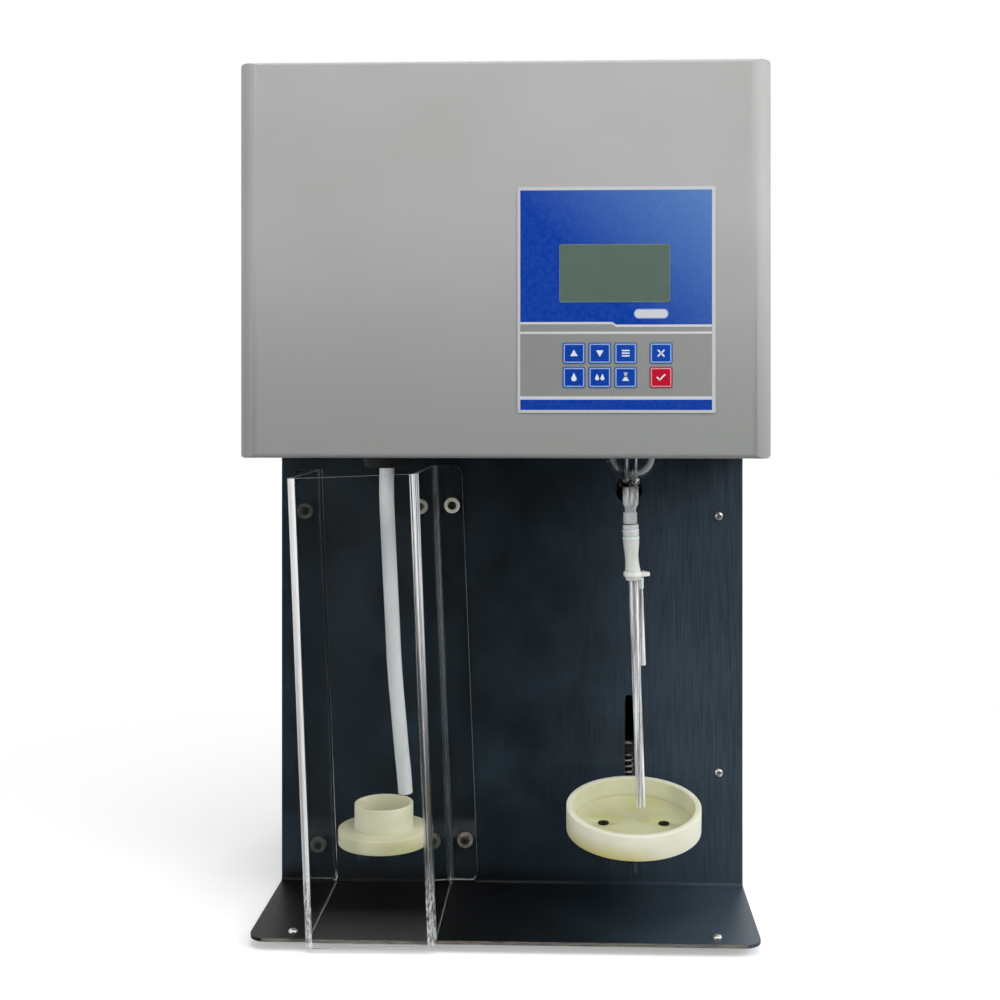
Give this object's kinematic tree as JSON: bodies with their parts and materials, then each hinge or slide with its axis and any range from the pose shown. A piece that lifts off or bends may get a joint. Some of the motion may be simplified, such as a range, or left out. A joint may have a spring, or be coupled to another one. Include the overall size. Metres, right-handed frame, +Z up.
{
  "type": "kjeldahl nitrogen analyzer",
  "caption": "Bench steam distillation unit with a lift-off hood, keypad, clear tube guard, sprung tube holder, glass condenser outlet and a sprung receiving tray.",
  "frame": {"origin": "under the feet, at the middle of the overall width and depth", "axes": "+X to the right, +Y to the rear, +Z up; the keypad, guard and tray face -Y"},
  "size_m": [0.4466, 0.401, 0.7423],
  "materials": {
    "black_powder_coat": "satin powder coat",
    "zinc_sheet": "zinc plated",
    "grey_bracket": "satin",
    "black_rubber": "matte",
    "screw_steel": "plated",
    "spring_steel": "bright",
    "clear_glass": "clear",
    "white_hose": "satin",
    "clear_hose": "translucent",
    "cream_rubber": "matte",
    "tie_nylon": "satin",
    "stainless": "brushed",
    "steam_silicone": "matte",
    "black_plastic": "moulded",
    "motor_steel": "satin",
    "brass": "turned",
    "supply_case": "satin",
    "board_green": "solder mask",
    "hood_grey": "fine satin",
    "overlay_print": "printed film",
    "lcd_face": "clear over display",
    "key_blue": "embossed film",
    "key_red": "embossed film",
    "clear_acrylic": "clear",
    "bright_washer": "bright",
    "dark_screw": "blackened",
    "cream_nylon": "machined",
    "rotor_plastic": "moulded"
  },
  "bodies": {
    "frame": {"base_panel": "black_powder_coat", "floor_pan": "zinc_sheet", "cabinet_cover": "black_powder_coat", "rear_cover": "black_powder_coat", "head_shelf": "grey_bracket", "feet": "black_rubber", "case_screws": "screw_steel", "stopper": "black_rubber", "splash_head": "clear_glass", "steam_hose": "white_hose", "condenser_jacket": "clear_glass", "condenser_tube": "clear_glass", "condenser_clamp": "black_plastic", "outlet_hose": "clear_hose", "outlet_sleeve": "cream_rubber", "cable_tie": "tie_nylon", "delivery_tube": "clear_glass", "acid_tube": "clear_glass", "lift_guides": "grey_bracket", "guide_rods": "screw_steel", "tray_spring": "spring_steel", "holder_spring": "spring_steel", "boiler": "stainless", "heater": "stainless", "steam_pipe": "steam_silicone", "cooling_hoses": "clear_hose", "dosing_hoses": "clear_hose", "pump_bracket": "grey_bracket", "pump_heads": "black_plastic", "pump_motors": "motor_steel", "valves": "brass", "power_supply": "supply_case", "power_board": "board_green", "fan_frame": "black_plastic", "power_entry": "black_plastic", "nozzles": "brass"},
    "hood_assembly": {"hood": "hood_grey", "keypad_overlay": "overlay_print", "lcd_window": "lcd_face", "control_board": "board_green"},
    "key_up_button": {"key_up": "key_blue"},
    "key_down_button": {"key_down": "key_blue"},
    "key_function_button": {"key_function": "key_blue"},
    "key_cancel_button": {"key_cancel": "key_blue"},
    "key_acid_button": {"key_acid": "key_blue"},
    "key_alkali_button": {"key_alkali": "key_blue"},
    "key_distil_button": {"key_distil": "key_blue"},
    "key_confirm_button": {"key_confirm": "key_red"},
    "guard_assembly": {"guard": "clear_acrylic", "guard_screws": "dark_screw", "guard_washers": "bright_washer"},
    "tray_carriage": {"tray": "cream_nylon", "tray_screws": "dark_screw", "tray_arm": "black_powder_coat"},
    "holder_carriage": {"tube_holder": "cream_nylon", "holder_arm": "black_powder_coat"},
    "rocker": {"switch_rocker": "black_plastic"},
    "fan_wheel": {"fan_rotor": "black_plastic"},
    "alkali_pump_rotor": {"alkali_rotor": "rotor_plastic"},
    "acid_pump_rotor": {"acid_rotor": "rotor_plastic"}
  },
  "joints": [
    {"name": "hood_lift", "type": "slide", "parent": "frame", "child": "hood_assembly", "axis": [0, 0, 1], "range_m": [0, 0.34]},
    {"name": "guard_pull", "type": "slide", "parent": "frame", "child": "guard_assembly", "axis": [0, -1, 0], "range_m": [0, 0.16]},
    {"name": "tray_slide", "type": "slide", "parent": "frame", "child": "tray_carriage", "axis": [0, 0, 1], "range_m": [-0.03, 0], "stiffness_N_per_m": 300, "springref_m": 0.05, "deforming": ["tray_spring"]},
    {"name": "holder_slide", "type": "slide", "parent": "frame", "child": "holder_carriage", "axis": [0, 0, 1], "range_m": [-0.018, 0], "stiffness_N_per_m": 400, "springref_m": 0.02, "deforming": ["holder_spring"]},
    {"name": "switch_tilt", "type": "hinge", "parent": "frame", "child": "rocker", "pos_m": [-0.16, 0.178, 0.098], "axis": [1, 0, 0], "range_deg": [-16, 0]},
    {"name": "fan_spin", "type": "hinge", "parent": "frame", "child": "fan_wheel", "pos_m": [0.15, 0.165, 0.23], "axis": [0, 1, 0], "continuous": true},
    {"name": "alkali_pump_spin", "type": "hinge", "parent": "frame", "child": "alkali_pump_rotor", "pos_m": [-0.012, 0.026, 0.378], "axis": [0, 1, 0], "continuous": true},
    {"name": "acid_pump_spin", "type": "hinge", "parent": "frame", "child": "acid_pump_rotor", "pos_m": [0.062, 0.026, 0.378], "axis": [0, 1, 0], "continuous": true},
    {"name": "key_up_press", "type": "slide", "parent": "hood_assembly", "child": "key_up_button", "axis": [0, 1, 0], "range_m": [0, 0.0004], "stiffness_N_per_m": 3000},
    {"name": "key_down_press", "type": "slide", "parent": "hood_assembly", "child": "key_down_button", "axis": [0, 1, 0], "range_m": [0, 0.0004], "stiffness_N_per_m": 3000},
    {"name": "key_function_press", "type": "slide", "parent": "hood_assembly", "child": "key_function_button", "axis": [0, 1, 0], "range_m": [0, 0.0004], "stiffness_N_per_m": 3000},
    {"name": "key_cancel_press", "type": "slide", "parent": "hood_assembly", "child": "key_cancel_button", "axis": [0, 1, 0], "range_m": [0, 0.0004], "stiffness_N_per_m": 3000},
    {"name": "key_acid_press", "type": "slide", "parent": "hood_assembly", "child": "key_acid_button", "axis": [0, 1, 0], "range_m": [0, 0.0004], "stiffness_N_per_m": 3000},
    {"name": "key_alkali_press", "type": "slide", "parent": "hood_assembly", "child": "key_alkali_button", "axis": [0, 1, 0], "range_m": [0, 0.0004], "stiffness_N_per_m": 3000},
    {"name": "key_distil_press", "type": "slide", "parent": "hood_assembly", "child": "key_distil_button", "axis": [0, 1, 0], "range_m": [0, 0.0004], "stiffness_N_per_m": 3000},
    {"name": "key_confirm_press", "type": "slide", "parent": "hood_assembly", "child": "key_confirm_button", "axis": [0, 1, 0], "range_m": [0, 0.0004], "stiffness_N_per_m": 3000}
  ]
}
